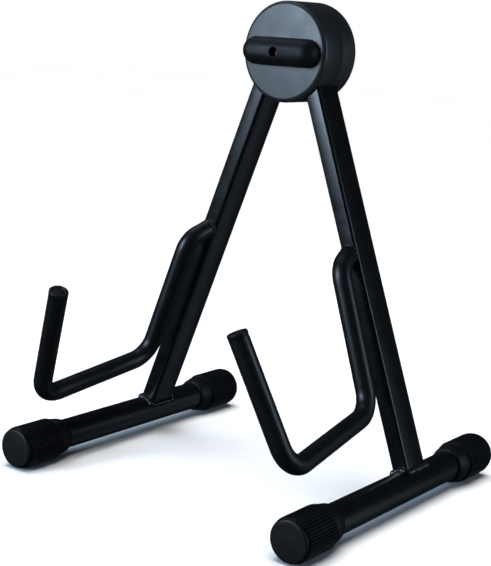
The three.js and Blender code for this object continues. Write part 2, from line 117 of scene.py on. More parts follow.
CAP_RIBS = 44
CAP_RIB_POINTS = 16  # round each rib
CAP_RIBBED = 40.5 * MM  # the end disc's face to the end of the ribs
CAP_SHOULDER = 2.5 * MM
CAP_SHOULDER_DEPTH = 0.6 * MM  # under the neck
CAP_RIB_HEIGHT = 1.7 * MM
CAP_RIB_WIDTH = 0.8  # share of the pitch that a rib's foot takes
CAP_RIB_NOSE = 2.2 * MM  # length of the round end of each rib, next to the disc
CAP_RIB_NOSE_STEPS = 6
CAP_RIB_TAIL = 0.9 * MM  # length over which the ribs' other ends ease off
CAP_RIB_LIFT = 1.6  # how much sooner a rib's end gains its height than its width
CAP_NECK = 12.0 * MM
CAP_WALL = 4.0 * MM
CAP_BORE = 13.2 * MM
CAP_NECK_RADIUS = 16.6 * MM
CAP_LIP_RADIUS = 14.2 * MM
CAP_DISC_RADIUS = 17.0 * MM
CAP_DISC_ROUND = 2.0 * MM
CAP_DISC_RISE = 2.3 * MM  # from the cap's end to the centre of that rounding
CAP_DISC_CROWN = ((0.1 * MM, 8.0 * MM), (0.4 * MM, 12.5 * MM))  # (distance from the end, radius)
CAP_GROOVE_START = 2.9 * MM  # the groove round the disc, from the cap's end
CAP_GROOVE_END = 4.2 * MM
CAP_GROOVE_DEPTH = 0.9 * MM  # under the grooves between the ribs

ARM_RADIUS = 8.0 * MM
ARM_STEP = 2.5 * MM
ARM_SIDES = 48
SLEEVE_BORE = 5.2 * MM
SLEEVE_GAP = 0.3 * MM  # between the leg's face and the sleeve
PLUG_HEIGHT = 4.2 * MM
PLUG_RIM = ARM_RADIUS + 0.1 * MM
PLUG_ROUND = 1.3 * MM
PLUG_NECK = 0.5 * MM  # the groove between the sleeve's end and the plug's rim
PLUG_NECK_DEPTH = 1.2 * MM
PLUG_CHAMFER = (0.2 * MM, 0.3 * MM)  # under the rim: inwards, upwards
PLUG_STEM = 14.0 * MM
PLUG_STEM_RADIUS = 4.5 * MM
PLUG_DISH_RADIUS = 5.6 * MM
PLUG_DISH_DEPTH = 0.9 * MM
PLUG_DISH_EDGE = 0.3 * MM
# The dish's floor: (radius, height above its lowest ring).
PLUG_DISH_FLOOR = ((4.7 * MM, 0), (2.0 * MM, 0.25 * MM), (0.3 * MM, 0.3 * MM))
# The arm's bends: distance ahead of the leg's front face, height along the leg above the foot
# bar's axis, distance outwards from the leg's middle, and the bend's radius.
ARM_ROOT = (0, 196.1, 0)
ARM_BENDS = (
    (20.6, 186.5, 1.9, 18),
    (23.2, 67.6, -0.2, 22),
    (147.9, 46.7, 3.7, 21),
)
ARM_TIP = (168.9, 156.7, 1.6)

# ---- The studio's values: metres, degrees and watts ----

CAMERA_PLACE = Vector((0.64417, -0.88144, 0.38887))
CAMERA_YAW = 36.641
CAMERA_PITCH = -11.447
CAMERA_ROLL = 3.177
CAMERA_LENS = 83.53  # millimetres, on a sensor 36 mm high
CAMERA_SENSOR = 36
CAMERA_CLIP = (0.05, 50)

FLOOR_HALF = 6.0
FLOOR_DROP = 0.2 * MM  # under the caps

COOL = (0.62, 0.79, 1.0)  # the colour of the softboxes and the room
SUN_POWER = 3.6  # watts a square metre
SUN_SPREAD = 50
# Each softbox: place, target, width, height and power.
SOFTBOXES = {
    "front_left": ((-1.12, -2.15, 0.87), (0, 0, 0.3), 0.85, 1.35, 60),
    "side_strip": ((2.2, 0.95, 0.5), (0, 0, 0.2), 0.35, 1.4, 13),
    "top_left": ((-0.9, 0.2, 2.2), (0, 0, 0.2), 1.0, 1.4, 7),
}
ROOM_STRENGTH = 0.03
# A glow low behind the object's right side. GLOW_EDGE and GLOW_TOP set its upper edge, which
# climbs to the right, and GLOW_BELOW how bright it is at each distance under that edge.
GLOW_TOWARDS = (0.62, 0.78, 0.0)
GLOW_NARROWING = 3.0  # the power that gathers it about that direction
GLOW_TOP = 0.3
GLOW_EDGE = (2.1, -1.76, -1.0)
GLOW_BELOW = ((0.0, 0.0), (0.17, 0.01), (0.23, 0.75), (0.34, 0.6), (0.56, 0.14), (0.9, 0.05))

# ---- Places that the frame gives ----


def pivot(side):
    """The leg's pivot, in the middle plane of the legs."""
    return Vector(next(j["pos_m"] for j in frame["joints"] if j["child"] == f"{side}_leg"))


def foot(side):
    """The point on the foot bar's axis that the leg stands on."""
    low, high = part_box(f"{side}_foot_bar")
    return Vector(((low.x + high.x) / 2, pivot(side).y, (low.z + high.z) / 2))


def leg_frame(side):
    """The matrix from the leg's own frame to the row frame. The left one mirrors."""
    up = (pivot(side) - foot(side)).normalized()
    outwards = Vector((up.z, 0, -up.x)) * SIDES[side]
    turn = Matrix((outwards, (0, 1, 0), up)).transposed().to_4x4()
    return Matrix.Translation(foot(side)) @ turn


LEG_LENGTH = (pivot("right") - foot("right")).length
LEG_PLANE = pivot("right").y
HEAD_CENTRE = Vector((0, LEG_PLANE, pivot("right").z))

# ---- Mesh helpers ----


def face_outwards(mesh):
    """Turns every face of a closed mesh outwards."""
    work = bmesh.new()
    work.from_mesh(mesh)
    bmesh.ops.recalc_face_normals(work, faces=work.faces)
    work.to_mesh(mesh)
    work.free()


def skin(name, rings, closed=False, frame_of=None):
    """A mesh over a row of rings with equal counts: a tube with capped ends, or a closed loop."""
    count = len(rings[0])
    points = [tuple(point) for ring in rings for point in ring]
    faces = []
    for i in range(len(rings) if closed else len(rings) - 1):
        here = i * count
        there = (i + 1) % len(rings) * count
        for j in range(count):
            k = (j + 1) % count
            faces.append((here + j, here + k, there + k, there + j))
    if not closed:
        faces.append(tuple(reversed(range(count))))
        faces.append(tuple(range(len(points) - count, len(points))))
    mesh = bpy.data.meshes.new(name)
    mesh.from_pydata(points, [], faces)
    if frame_of is not None:
        mesh.transform(frame_of)
    face_outwards(mesh)
    piece = bpy.data.objects.new(name, mesh)
    bpy.context.scene.collection.objects.link(piece)
    return piece


def circle(radius, y, count, centre=(0, 0)):
    """A ring about an axis along Y through centre = (x, z), anticlockwise seen from the front."""
    turn = 2 * math.pi / count
    return [
        Vector((centre[0] + radius * math.cos(i * turn), y, centre[1] + radius * math.sin(i * turn)))
        for i in range(count)
    ]


def ring_about(point, across, third, radius, sides):
    """A ring about a point, in the plane of two unit vectors."""
    ring = []
    for i in range(sides):
        angle = 2 * math.pi * i / sides
        ring.append(point + radius * (math.cos(angle) * across + math.sin(angle) * third))
    return ring


def turned(name, profile, count, centre=(0, 0), closed=False):
    """A turned body about an axis along Y, from [radius, y] points that run front to back."""
    rings = [circle(radius, y, count, centre) for radius, y in profile]
    return skin(name, rings, closed)


def arc(centre, radius, start, end, steps):
    """[radius, y] points along a circular arc, angles in degrees from the +radius direction."""
    points = []
    for i in range(steps + 1):
        angle = math.radians(start + (end - start) * i / steps)
        points.append((centre[0] + radius * math.cos(angle), centre[1] + radius * math.sin(angle)))
    return points


def prism(name, outline, start, end):
    """A prism along Y over an (x, z) outline."""
    return skin(name, [[Vector((x, y, z)) for x, z in outline] for y in (start, end)])


def rounded_rectangle(width, depth, corner, steps=6):
    """(x, y) points round a rectangle with round corners, anticlockwise from above."""
    points = []
    for turn, (across, along) in enumerate(((1, 1), (-1, 1), (-1, -1), (1, -1))):
        centre = (across * (width / 2 - corner), along * (depth / 2 - corner))
        points += arc(centre, corner, 90 * turn, 90 * turn + 90, steps)
    return points


def bake(piece):
    """Applies the piece's modifiers."""
    bpy.context.view_layer.update()
    made = piece.evaluated_get(bpy.context.evaluated_depsgraph_get())
    mesh = bpy.data.meshes.new_from_object(made)
    old = piece.data
    piece.modifiers.clear()
    piece.data = mesh
    bpy.data.meshes.remove(old)


def cut(piece, cutters):
    """Takes the cutters away from the piece."""
    for cutter in cutters:
        modifier = piece.modifiers.new("cut", "BOOLEAN")
        modifier.operation = "DIFFERENCE"
        modifier.solver = "EXACT"
        modifier.object = cutter
    bake(piece)
    for cutter in cutters:
        bpy.data.objects.remove(cutter)


def ease_edges(piece, width, steps=3, angle=30):
    """Rounds the piece's sharp edges."""
    modifier = piece.modifiers.new("edges", "BEVEL")
    modifier.width = width
    modifier.segments = steps
    modifier.limit_method = "ANGLE"
    modifier.angle_limit = math.radians(angle)
    modifier.harden_normals = False
    bake(piece)


def shade(piece, angle=35):
    """Smooth shading that keeps edges sharper than the angle."""
    piece.data.shade_smooth()
    piece.data.set_sharp_from_angle(angle=math.radians(angle))


def finish_piece(piece, material, body, slot, *nodes):
    """Gives the piece its material and its body, and hides the CAD nodes it stands for. The finish's
    slot is not used.
    """
    piece.data.materials.clear()
    piece.data.materials.append(material)
    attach(piece, body)
    if nodes:
        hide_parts(*nodes)
    return piece


# ---- Materials ----


class Recipe:
    """A procedural material: base colour, roughness and bump, each varied by noise."""

    def __init__(self, name, roughness, metallic=0.0, specular=0.5):
        self.material = bpy.data.materials.new(name)
        self.material.use_nodes = True
        self.tree = self.material.node_tree
        self.shader = self.tree.nodes["Principled BSDF"]
        self.shader.inputs["Roughness"].default_value = roughness
        self.shader.inputs["Metallic"].default_value = metallic
        self.shader.inputs["Specular IOR Level"].default_value = specular
        self.place = self.tree.nodes.new("ShaderNodeTexCoord").outputs["Object"]
        self.height = None

    def link(self, output, target):
        """Joins a node's output to another node's input."""
        self.tree.links.new(output, target)

    def noise(self, size, detail=3.0, rough=0.55, stretch=(1, 1, 1)):
        """Noise with features of about that size in metres, stretched along the axes."""
        mapping = self.tree.nodes.new("ShaderNodeMapping")
        mapping.inputs["Scale"].default_value = [1 / s for s in stretch]
        self.link(self.place, mapping.inputs["Vector"])
        node = self.tree.nodes.new("ShaderNodeTexNoise")
        node.inputs["Scale"].default_value = 1 / size
        node.inputs["Detail"].default_value = detail
        node.inputs["Roughness"].default_value = rough
        self.link(mapping.outputs["Vector"], node.inputs["Vector"])
        return node.outputs["Fac"]

    def spread(self, value, low, high, start=0.3, end=0.7):
        """Maps noise between start and end to low and high."""
        node = self.tree.nodes.new("ShaderNodeMapRange")
        node.inputs["From Min"].default_value = start
        node.inputs["From Max"].default_value = end
        node.inputs["To Min"].default_value = low
        node.inputs["To Max"].default_value = high
        self.link(value, node.inputs["Value"])
        return node.outputs["Result"]

    def colours(self, value, dark, light, start=0.35, end=0.65):
        """Base colour from dark to light over the noise."""
        ramp = self.tree.nodes.new("ShaderNodeValToRGB")
        ramp.color_ramp.elements[0].position = start
        ramp.color_ramp.elements[0].color = (*dark, 1)
        ramp.color_ramp.elements[1].position = end
        ramp.color_ramp.elements[1].color = (*light, 1)
        self.link(value, ramp.inputs["Fac"])
        self.link(ramp.outputs["Color"], self.shader.inputs["Base Color"])

    def roughness(self, value, low, high):
        """Roughness from low to high over the noise."""
        self.link(self.spread(value, low, high), self.shader.inputs["Roughness"])

    def bump(self, value, depth, strength=1.0):
        """Adds relief of that depth in metres on top of what the recipe has already."""
        node = self.tree.nodes.new("ShaderNodeBump")
        node.inputs["Strength"].default_value = strength
        node.inputs["Distance"].default_value = depth
        self.link(value, node.inputs["Height"])
        if self.height is not None:
            self.link(self.height, node.inputs["Normal"])
        self.height = node.outputs["Normal"]
        self.link(self.height, self.shader.inputs["Normal"])


def housing_plastic():
    """Moulded black ABS with a fine spark-eroded grain."""
    made = Recipe("housing_plastic", 0.42, specular=0.8)
    made.colours(made.noise(0.03, 4), (0.0055, 0.006, 0.007), (0.008, 0.0087, 0.01))
    made.roughness(made.noise(0.012, 4), 0.4, 0.47)
    made.bump(made.noise(0.00045, 2), 0.00003, 0.5)
    return made.material


def smooth_rubber(name, low, high):
    """Moulded rubber: a faint bloom and a soft grain."""
    made = Recipe(name, 0.6, specular=0.3)
    made.colours(made.noise(0.02, 5), (0.0014, 0.0015, 0.0018), (0.003, 0.0032, 0.0037))
    made.roughness(made.noise(0.009, 5), low, high)
    made.bump(made.noise(0.0007, 3), 0.00004, 0.5)
    made.bump(made.noise(0.006, 2), 0.00008, 0.5)
    return made.material


def sleeve_foam():
    """Skinned foam tube, drawn along its length: smooth, satin, with a fine cell texture."""
    made = Recipe("sleeve_foam", 0.4)
    made.colours(made.noise(0.014, 4), (0.001, 0.0011, 0.0013), (0.002, 0.0022, 0.0026))
    made.roughness(made.noise(0.01, 4), 0.36, 0.44)
    made.bump(made.noise(0.0006, 3), 0.00003, 0.5)
    made.bump(made.noise(0.008, 2), 0.00012, 0.5)
    return made.material


def powder_coat():
    """Satin black powder coat: a low orange peel over the steel."""
    made = Recipe("powder_coat", 0.3, specular=0.5)
    made.colours(made.noise(0.025, 4), (0.001, 0.0011, 0.0013), (0.002, 0.0022, 0.0026))
    made.roughness(made.noise(0.01, 4), 0.2, 0.27)
    made.bump(made.noise(0.0016, 2), 0.00003, 0.5)
    made.bump(made.noise(0.0005, 1), 0.000006, 0.5)
    return made.material


def weld_metal():
    """A weld bead under the same coat: glossier, where the coat ran thick."""
    made = Recipe("coated_weld", 0.2, specular=0.7)
    made.colours(made.noise(0.006, 4), (0.002, 0.0022, 0.0026), (0.005, 0.0054, 0.006))
    made.roughness(made.noise(0.004, 4), 0.16, 0.28)
    made.bump(made.noise(0.0012, 3), 0.00012, 0.7)
    return made.material


def turned_steel():
    """Zinc-plated steel with fine turning marks."""
    made = Recipe("turned_steel", 0.35, metallic=1.0)
    made.colours(made.noise(0.003, 4), (0.16, 0.16, 0.17), (0.34, 0.34, 0.35))
    made.roughness(made.noise(0.002, 4, stretch=(1, 0.1, 1)), 0.28, 0.45)
    made.bump(made.noise(0.0008, 3, stretch=(1, 0.1, 1)), 0.00002, 0.6)
    return made.material


def screw_steel():
    """The bumper's screw: dull zinc."""
    made = Recipe("screw_steel", 0.4, metallic=1.0)
    made.colours(made.noise(0.002, 4), (0.12, 0.12, 0.125), (0.25, 0.25, 0.26))
    made.roughness(made.noise(0.0015, 4), 0.32, 0.5)
    made.bump(made.noise(0.0006, 3), 0.00002, 0.6)
    return made.material


def nylon():
    """Natural nylon: warm white and slightly mottled."""
    made = Recipe("nylon", 0.5)
    made.colours(made.noise(0.004, 4), (0.56, 0.54, 0.48), (0.68, 0.66, 0.6))
    made.roughness(made.noise(0.002, 4), 0.42, 0.58)
    made.bump(made.noise(0.0007, 3), 0.00003, 0.5)
    return made.material


def pale_floor():
    """Matt white paper."""
    made = Recipe("pale_floor", 0.9, specular=0.1)
    made.colours(made.noise(0.4, 3), (0.86, 0.86, 0.86), (0.9, 0.9, 0.9))
    made.bump(made.noise(0.002, 3), 0.00003, 0.3)
    return made.material


HOUSING = housing_plastic()
BUMPER = smooth_rubber("bumper_rubber", 0.5, 0.6)
CAP = smooth_rubber("cap_rubber", 0.42, 0.54)
PLUG = smooth_rubber("plug_rubber", 0.42, 0.52)
FOAM = sleeve_foam()
COAT = powder_coat()
WELD = weld_metal()
STEEL = turned_steel()
SCREW_STEEL = screw_steel()
NYLON = nylon()

# ---- The head ----


def leg_slot(side):
    """The opening that a leg swings in, from the folded leg's inner side to the open leg's outer."""
    place = leg_frame(side)
    reach = LEG_WIDTH / 2 + SLOT_CLEARANCE
    top = place @ Vector((reach, 0, LEG_LENGTH - SLOT_TOP))
    bottom = place @ Vector((reach, 0, LEG_LENGTH - head_radius() - SLOT_REACH))
    inner = pivot(side).x - SIDES[side] * (LEG_WIDTH / 2 + SLOT_INNER)
    outline = [(inner, top.z), (inner, bottom.z), (bottom.x, bottom.z), (top.x, top.z)]
    if side == "left":
        outline.reverse()
    half = LEG_DEPTH / 2 + SLOT_CLEARANCE
    return prism("slot", outline, LEG_PLANE - half, LEG_PLANE + half)


def head_radius():
    """The drum's radius."""
    low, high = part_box("front_housing")
    return (high.x - low.x) / 2


def screw_places():
    """The (x, z) places of the four screws that hold the rear housing on."""
    for angle in map(math.radians, SCREW_ANGLES):
        yield (SCREW_CIRCLE * math.cos(angle), HEAD_CENTRE.z + SCREW_CIRCLE * math.sin(angle))


def finish_housing(piece, node, wells=()):
    """Opens the legs' slots and any screw wells, rounds the edges, and gives the finish."""
    cut(piece, [leg_slot(side) for side in SIDES] + list(wells))
    ease_edges(piece, HEAD_EDGE, steps=2, angle=40)
    shade(piece)
    return finish_piece(piece, HOUSING, "head", "housing_plastic", node)


def front_housing():
    """The cup that makes the head's face and most of its side, with its lip at the seam."""
    radius = head_radius()
    low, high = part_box("front_housing")
    face, seam = low.y, high.y
    inside = radius - HEAD_WALL
    edge = arc((radius - HEAD_ROUND, face + HEAD_ROUND), HEAD_ROUND, -90, 0, 10)
    profile = [(CENTRE_FLAT, face), *edge, (radius, seam), (inside, seam)]
    profile += [(inside, face + HEAD_WALL), (CENTRE_FLAT, face + HEAD_WALL)]
    piece = turned("head_front", profile, HEAD_SEGMENTS, (0, HEAD_CENTRE.z))
    return finish_housing(piece, "front_housing")


def rear_housing():
    """The cover behind the seam, with wells for the four screws that hold it on."""
    radius = head_radius()
    low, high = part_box("rear_housing")
    seam, back = low.y, high.y
    inside = radius - HEAD_WALL
    edge = arc((radius - HEAD_ROUND, back - HEAD_ROUND), HEAD_ROUND, 0, 90, 10)
    profile = [(CENTRE_FLAT, back - HEAD_WALL), (inside, back - HEAD_WALL), (inside, seam)]
    profile += [(radius, seam), *edge, (CENTRE_FLAT, back)]
    piece = turned("head_rear", profile, HEAD_SEGMENTS, (0, HEAD_CENTRE.z))
    well = [(SCREW_WELL_RADIUS, y) for y in (back - SCREW_WELL_DEPTH, back + OVERSHOOT)]
    wells = [turned("well", well, SCREW_WELL_SEGMENTS, place) for place in screw_places()]
    return finish_housing(piece, "rear_housing", wells)


def stadium(half_straight, radius, y, steps=20):
    """A ring shaped like a running track, in the X-Z plane about the head's centre."""
    points = []
    for side, start in ((1, -90), (-1, 90)):
        for i in range(steps + 1):
            angle = math.radians(start + 180 * i / steps)
            x = side * half_straight + radius * math.cos(angle)
            points.append(Vector((x, y, HEAD_CENTRE.z + radius * math.sin(angle))))
    return points


def bumper():
    """The rubber pillow on the head's face: straight sides, a deep dome and a screw's well."""
    low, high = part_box("bumper")
    radius = (high.z - low.z) / 2
    half_straight = (high.x - low.x) / 2 - radius
    dome = high.y - low.y - BUMPER_BASE
    rings = [stadium(half_straight, radius - BUMPER_FOOT_ROUND, high.y)]
    rings.append(stadium(half_straight, radius, high.y - BUMPER_FOOT_ROUND))
    for i in range(BUMPER_DOME_STEPS + 1):
        angle = math.radians(90 * i / BUMPER_DOME_STEPS)
        inset = (radius - BUMPER_CREST) * (1 - math.cos(angle))
        y = high.y - BUMPER_BASE - dome * math.sin(angle)
        rings.append(stadium(half_straight, radius - inset, y))
    piece = skin("bumper_pad", rings[::-1])
    well = [(BUMPER_WELL_RADIUS, y) for y in (low.y - OVERSHOOT, high.y - BUMPER_WELL_FLOOR)]
    cut(piece, [turned("well", well, BUMPER_WELL_SEGMENTS, (0, HEAD_CENTRE.z))])
    ease_edges(piece, BUMPER_WELL_EDGE, steps=4, angle=38)
    shade(piece, angle=45)
    finish_piece(piece, BUMPER, "head", "bumper_rubber", "bumper")
    return piece


# ---- The legs ----


def bar_radius(side):
    """The foot bar's radius."""
    low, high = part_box(f"{side}_foot_bar")
    return (high.z - low.z) / 2


def leg_ring(width, depth, corner, height_at):
    """A ring round the leg's section, at a height given point by point."""
    return [Vector((x, y, height_at(x))) for x, y in rounded_rectangle(width, depth, corner)]


def leg_tube(side):
    """Flat rectangular tube, coped at the bottom to sit on the round foot bar."""
    bar = bar_radius(side)

    def saddle(x):
        return math.sqrt(bar * bar - x * x)

    def top(x):
        return LEG_LENGTH - SLOT_TOP

    inner = (LEG_WIDTH - 2 * LEG_WALL, LEG_DEPTH - 2 * LEG_WALL, LEG_CORNER - LEG_WALL)
    outer = (LEG_WIDTH, LEG_DEPTH, LEG_CORNER)
    rings = [
        leg_ring(*outer, saddle),
        leg_ring(*outer, top),
        leg_ring(*inner, top),
        leg_ring(*inner, saddle),
    ]
    piece = skin(f"{side}_leg", rings, closed=True, frame_of=leg_frame(side))
    shade(piece, angle=40)
    return finish_piece(piece, COAT, f"{side}_leg", "powder_coat", f"{side}_leg_tube")


def foot_bar(side):
    """Round tube, front to back."""
    low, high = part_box(f"{side}_foot_bar")
    centre = ((low.x + high.x) / 2, (low.z + high.z) / 2)
    radius = bar_radius(side)
    bore = radius - BAR_WALL
    profile = [(radius, low.y), (radius, high.y), (bore, high.y), (bore, low.y)]
    piece = turned(f"{side}_bar", profile, BAR_SEGMENTS, centre, closed=True)
    shade(piece)
    return finish_piece(piece, COAT, f"{side}_leg", "powder_coat", f"{side}_foot_bar")


def bead(name, path, size, ripple, frame_of):
    """A weld bead round a closed path of (point, outward normal) pairs: a lumpy rope of metal."""
    rings = []
    travelled = 0.0
    for i, (point, out) in enumerate(path):
        ahead = path[(i + 1) % len(path)][0]
        behind = path[i - 1][0]
        along = (ahead - behind).normalized()
        across = (out - along * out.dot(along)).normalized()
        wave = math.sin(2 * math.pi * travelled / ripple)
        drift = sum(share * math.sin(travelled * rate + start) for share, rate, start in BEAD_WAVES)
        radius = size * (1 + BEAD_RIPPLE * wave + BEAD_DRIFT * drift)
        rings.append(ring_about(point, across, along.cross(across), radius, BEAD_SIDES))
        travelled += (ahead - point).length
    piece = skin(name, rings, closed=True, frame_of=frame_of)
    shade(piece, angle=80)
    return piece


def refine(points, step):
    """Points about one step apart round a closed outline."""
    fine = []
    for here, there in zip(points, points[1:] + points[:1]):
        here, there = Vector(here), Vector(there)
        count = max(1, round((there - here).length / step))
        fine += [here.lerp(there, i / count) for i in range(count)]
    return fine


def foot_weld(side):
    """The bead where the leg stands on the foot bar."""
    bar = bar_radius(side)
    wider = 2 * FOOT_WELD_OUT
    outline = rounded_rectangle(LEG_WIDTH + wider, LEG_DEPTH + wider, LEG_CORNER + FOOT_WELD_OUT)
    path = []
    for x, y in refine(outline, FOOT_WELD_STEP):
        lift = math.sqrt(bar * bar - x * x)
        path.append((Vector((x, y, lift + FOOT_WELD_LIFT)), Vector((x, 0, lift)).normalized()))
    name = f"{side}_foot_weld"
    piece = bead(name, path, FOOT_WELD_RADIUS, FOOT_WELD_RIPPLE, leg_frame(side))
    return finish_piece(piece, WELD, f"{side}_leg", "powder_coat")


def rib_rise(angle, spread):
    """How far a rib stands at that angle round the cap: 1 on its crest and 0 in the groove.

    spread narrows the ribs from full width, at 1, to nothing, at 0: it rounds off their ends.
    """
    across = abs((angle * CAP_RIBS / (2 * math.pi) + 0.5) % 1 - 0.5) * 2
    width = CAP_RIB_WIDTH * spread
    if across >= width:
        return 0.0
    return (1 - (across / width) ** 2.5) ** 0.5


def disc_profile(valley):
    """The end disc, from its middle over its round rim to the groove that sets it off."""
    rim = arc((CAP_DISC_RADIUS - CAP_DISC_ROUND, CAP_DISC_RISE), CAP_DISC_ROUND, -80, 0, 7)
    profile = [(0.0, CENTRE_FLAT, 0)]
    profile += [(distance, radius, 0) for distance, radius in CAP_DISC_CROWN]
    profile += [(distance, radius, 0) for radius, distance in rim]
    profile.append((CAP_GROOVE_START, CAP_DISC_RADIUS - 0.2 * MM, 0))
    profile.append((CAP_GROOVE_START + 0.2 * MM, valley - CAP_GROOVE_DEPTH, 0))
    profile.append((CAP_GROOVE_END, valley - CAP_GROOVE_DEPTH, 0))
    return profile


def rib_profile(valley):
    """The ribs, from their round noses next to the disc to their square ends."""
    start = CAP_GROOVE_END + 0.1 * MM
    profile = [(start, valley - 0.1 * MM, 0.02)]
    for step in range(1, CAP_RIB_NOSE_STEPS + 1):
        turn = math.radians(90 * step / CAP_RIB_NOSE_STEPS)
        profile.append((start + CAP_RIB_NOSE * (1 - math.cos(turn)), valley, math.sin(turn)))
    profile.append((CAP_RIBBED - CAP_RIB_TAIL, valley, 1))
    profile.append((CAP_RIBBED - CAP_RIB_TAIL / 3, valley, 0.9))
    profile.append((CAP_RIBBED, valley, 0.6))
    profile.append((CAP_RIBBED + 0.1 * MM, valley - 0.2 * MM, 0))
    return profile


def neck_profile():
    """The shoulder, the neck that narrows to its lip, and the bore."""
    start = CAP_RIBBED + CAP_SHOULDER
    end = start + CAP_NECK
    shoulder = CAP_NECK_RADIUS - CAP_SHOULDER_DEPTH
    return [
        (CAP_RIBBED + 0.5 * MM, shoulder, 0),
        (start - 1.0 * MM, shoulder, 0),
        (start - 0.4 * MM, CAP_NECK_RADIUS - 0.1 * MM, 0),
        (start + 0.4 * MM, CAP_NECK_RADIUS, 0),
        (start + 4.5 * MM, CAP_NECK_RADIUS - 0.4 * MM, 0),
        (end - 3.0 * MM, CAP_NECK_RADIUS - 1.2 * MM, 0),
        (end - 1.0 * MM, CAP_LIP_RADIUS + 0.5 * MM, 0),
        (end - 0.2 * MM, CAP_LIP_RADIUS, 0),
        (end, CAP_LIP_RADIUS - 0.4 * MM, 0),
        (end, CAP_BORE, 0),
        (CAP_WALL, CAP_BORE, 0),
        (CAP_WALL, CENTRE_FLAT, 0),
    ]


def cap_rings(end, inwards, centre, crest):
    """The ribbed cap's rings, from the middle of its end disc to its lip and back into its bore.

    Each profile is a row of (distance from the end, radius in the grooves, spread of the ribs).
    """
    count = CAP_RIBS * CAP_RIB_POINTS
    valley = crest - CAP_RIB_HEIGHT
    rings = []
    for distance, radius, spread in disc_profile(valley) + rib_profile(valley) + neck_profile():
        ring = []
        for i in range(count):
            angle = 2 * math.pi * i / count
            reach = radius
            if spread > 0:
                reach += CAP_RIB_HEIGHT * rib_rise(angle, spread) * min(1, CAP_RIB_LIFT * spread)
            x = centre[0] + reach * math.cos(angle)
            z = centre[1] + reach * math.sin(angle)
            ring.append(Vector((x, end + inwards * distance, z)))
        rings.append(ring)
    return rings if inwards > 0 else rings[::-1]


def foot_cap(side, place):
    """A ribbed rubber cap on one end of the foot bar."""
    low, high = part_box(f"{side}_{place}_cap")
    centre = ((low.x + high.x) / 2, (low.z + high.z) / 2)
    end, inwards = (low.y, 1) if place == "front" else (high.y, -1)
    rings = cap_rings(end, inwards, centre, (high.z - low.z) / 2)
    piece = skin(f"{side}_{place}_foot_cap", rings)
    shade(piece, angle=50)
    return finish_piece(piece, CAP, f"{side}_leg", "cap_rubber", f"{side}_{place}_cap")


# ---- The arms ----


def arm_point(ahead, height, outwards, *_):
    """A corner of the arm's middle line, in the leg's frame."""
    return Vector((outwards * MM, -LEG_DEPTH / 2 - ahead * MM, height * MM))


def arm_route():
    """Points along the arm's middle line: straight runs joined by round bends."""
    corners = [arm_point(*ARM_ROOT)] + [arm_point(*bend) for bend in ARM_BENDS]
    corners.append(arm_point(*ARM_TIP))
    marks = [corners[0]]
    for i, bend in enumerate(ARM_BENDS, start=1):
        before = (corners[i - 1] - corners[i]).normalized()
        after = (corners[i + 1] - corners[i]).normalized()
        half = before.angle(after) / 2
        radius = bend[3] * MM
        middle = corners[i] + (before + after).normalized() * radius / math.sin(half)
        start = corners[i] + before * radius / math.tan(half)
        swing = math.pi - 2 * half
        axis = (start - middle).cross(-before)
        count = max(4, round(radius * swing / ARM_STEP))
        for j in range(count + 1):
            turn = Matrix.Rotation(swing * j / count, 3, axis)
            marks.append(middle + turn @ (start - middle))
    marks.append(corners[-1])
    route = []
    for here, there in zip(marks, marks[1:]):
        count = max(1, round((there - here).length / ARM_STEP))
        route += [here.lerp(there, i / count) for i in range(count)]
    route.append(marks[-1])
    return route


def sweep_rings(route, radius):
    """Rings along a route, without twist."""
    rings = []
    across = Vector((1, 0, 0))
    for i, point in enumerate(route):
        along = (route[min(i + 1, len(route) - 1)] - route[max(i - 1, 0)]).normalized()
        across = (across - along * across.dot(along)).normalized()
        rings.append(ring_about(point, across, along.cross(across), radius, ARM_SIDES))
    return rings


def shorten(route, length):
    """The route without a last stretch of that length."""
    kept = list(route)
    while (kept[-1] - kept[-2]).length < length:
        length -= (kept[-1] - kept[-2]).length
        kept.pop()
    kept[-1] = kept[-1] + (kept[-2] - kept[-1]).normalized() * length
    return kept


def arm_sleeve(side):
    """The foam sleeve over the arm's rod, from the leg's face to the plug."""
    route = shorten(arm_route(), PLUG_HEIGHT)
    route[0] = route[0] + (route[1] - route[0]).normalized() * SLEEVE_GAP
    rings = sweep_rings(route, ARM_RADIUS) + sweep_rings(route, SLEEVE_BORE)[::-1]
    piece = skin(f"{side}_sleeve", rings, closed=True, frame_of=leg_frame(side))
    shade(piece, angle=40)
    finish_piece(piece, FOAM, f"{side}_leg", "sleeve_foam", f"{side}_arm_sleeve")
    return piece


def plug_profile():
    """The plug's (radius, height) points, from its stem over its neck and rim to its dish."""
    neck = PLUG_RIM - PLUG_NECK_DEPTH
    inwards, upwards = PLUG_CHAMFER
    profile = [(PLUG_STEM_RADIUS, -PLUG_STEM), (PLUG_STEM_RADIUS, 0), (neck, 0)]
    profile += [(neck, PLUG_NECK), (PLUG_RIM - inwards, PLUG_NECK), (PLUG_RIM, PLUG_NECK + upwards)]
    profile += arc((PLUG_RIM - PLUG_ROUND, PLUG_HEIGHT - PLUG_ROUND), PLUG_ROUND, 0, 90, 8)
    edge = (PLUG_DISH_RADIUS, PLUG_HEIGHT - PLUG_DISH_EDGE)
    profile += arc(edge, PLUG_DISH_EDGE, 90, 180, 3)
    dish = PLUG_HEIGHT - PLUG_DISH_DEPTH
    profile += [(radius, dish + rise) for radius, rise in PLUG_DISH_FLOOR]
    return profile


